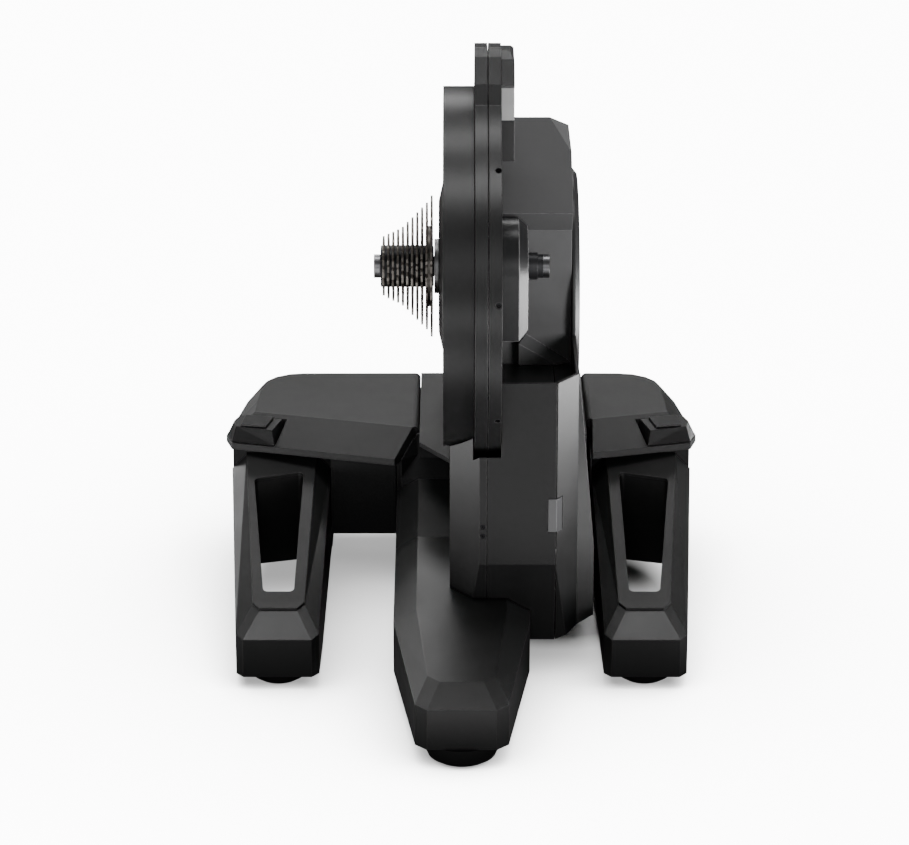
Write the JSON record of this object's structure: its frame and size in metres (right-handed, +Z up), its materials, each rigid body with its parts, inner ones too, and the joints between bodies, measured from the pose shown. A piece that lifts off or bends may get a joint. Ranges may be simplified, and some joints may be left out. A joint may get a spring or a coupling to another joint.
{
  "type": "direct drive bike trainer",
  "caption": "Direct drive bike trainer: sprocket cassette, belt-driven flywheel, carry handle, folding side wings with open legs and a fixed centre leg on rubber feet.",
  "frame": {"origin": "centre of the footprint's box on the floor; the axle lies straight above it at 340 mm", "axes": "+X to the non-drive side along the axle, +Y to the rear, +Z up"},
  "size_m": [0.424, 0.544, 0.531],
  "materials": {
    "satin_black": "satin",
    "dark_grey": "satin",
    "cast_black": "satin, painted",
    "housing_grey": "satin",
    "gloss_black": "gloss",
    "light_inlay": "satin",
    "rubber": "matte",
    "sprocket_steel": "brushed",
    "steel": "ground",
    "black_steel": "satin",
    "aluminium_raw": "machined",
    "aluminium_black": "anodised black",
    "cast_steel": "turned",
    "magnet": "plated",
    "copper_winding": "lacquered",
    "board_green": "satin",
    "window_grey": "gloss",
    "belt_rubber": "ribbed"
  },
  "bodies": {
    "stand": {"centre_leg": "satin_black", "front_foot": "rubber", "base_casting": "cast_black", "base_top_plate": "dark_grey", "frame_plate": "aluminium_raw", "body_left_cover": "satin_black", "body_front_cover": "satin_black", "body_side_cover": "satin_black", "status_window": "window_grey", "spine_left_shell": "satin_black", "spine_right_shell": "satin_black", "handle_inlay": "light_inlay", "pulley_cover": "satin_black", "pulley_cover_dome": "satin_black", "flywheel_housing": "housing_grey", "flywheel_cover": "gloss_black", "dropout_boss": "housing_grey", "axle_tube": "aluminium_raw", "drive_end_cap": "aluminium_raw", "non_drive_end_cap": "aluminium_raw", "non_drive_spacer": "aluminium_black", "pulley_bearings": "steel", "freehub_bearings": "steel", "flywheel_bearings": "steel", "drive_belt": "belt_rubber", "tension_arm": "steel", "circuit_board": "board_green", "power_inlet": "gloss_black", "brake_stator": "copper_winding", "spine_screws": "black_steel", "body_screws": "steel", "hinge_pins": "steel"},
    "pulley": {"drive_pulley": "aluminium_raw"},
    "cassette": {"freehub_body": "aluminium_black", "small_sprockets": "sprocket_steel", "large_sprockets": "sprocket_steel", "sprocket_spacers": "aluminium_black", "lockring": "black_steel"},
    "flywheel": {"flywheel": "cast_steel", "flywheel_shaft": "steel", "belt_pinion": "steel", "magnet_ring": "magnet"},
    "idler": {"idler_roller": "steel"},
    "left_wing": {"left_wing_beam": "cast_black", "left_wing_cover": "dark_grey", "left_leg": "cast_black", "left_leg_panel": "dark_grey", "left_feet": "rubber", "left_latch_block": "satin_black", "left_button_spring": "steel"},
    "right_wing": {"right_wing_beam": "cast_black", "right_wing_cover": "dark_grey", "right_leg": "cast_black", "right_leg_panel": "dark_grey", "right_feet": "rubber", "right_latch_block": "satin_black", "right_button_spring": "steel"},
    "left_release": {"left_button": "satin_black"},
    "right_release": {"right_button": "satin_black"}
  },
  "joints": [
    {"name": "flywheel_spin", "type": "hinge", "parent": "stand", "child": "flywheel", "pos_m": [0.064, 0.13, 0.2765], "axis": [1, 0, 0], "continuous": true},
    {"name": "pulley_spin", "type": "hinge", "parent": "stand", "child": "pulley", "pos_m": [-0.001, 0, 0.34], "axis": [1, 0, 0], "continuous": true},
    {"name": "idler_spin", "type": "hinge", "parent": "stand", "child": "idler", "pos_m": [-0.001, 0.08352, 0.2379], "axis": [1, 0, 0], "continuous": true},
    {"name": "freehub_spin", "type": "hinge", "parent": "pulley", "child": "cassette", "pos_m": [-0.045, 0, 0.34], "axis": [1, 0, 0], "continuous": true},
    {"name": "left_wing_fold", "type": "hinge", "parent": "stand", "child": "left_wing", "pos_m": [-0.0425, 0.202, 0.1448], "axis": [0, 1, 0], "range_deg": [0, 90]},
    {"name": "right_wing_fold", "type": "hinge", "parent": "stand", "child": "right_wing", "pos_m": [0.1172, 0.202, 0.1448], "axis": [0, -1, 0], "range_deg": [0, 90]},
    {"name": "left_release_press", "type": "slide", "parent": "left_wing", "child": "left_release", "axis": [0, 0, -1], "range_m": [0, 0.004], "stiffness_N_per_m": 900, "springref_m": -0.003, "deforming": ["left_button_spring"]},
    {"name": "right_release_press", "type": "slide", "parent": "right_wing", "child": "right_release", "axis": [0, 0, -1], "range_m": [0, 0.004], "stiffness_N_per_m": 900, "springref_m": -0.003, "deforming": ["right_button_spring"]}
  ],
  "couplings": [
    {"joint": "pulley_spin", "follows": "flywheel_spin", "ratio": 0.125},
    {"joint": "idler_spin", "follows": "flywheel_spin", "ratio": -1.5}
  ]
}
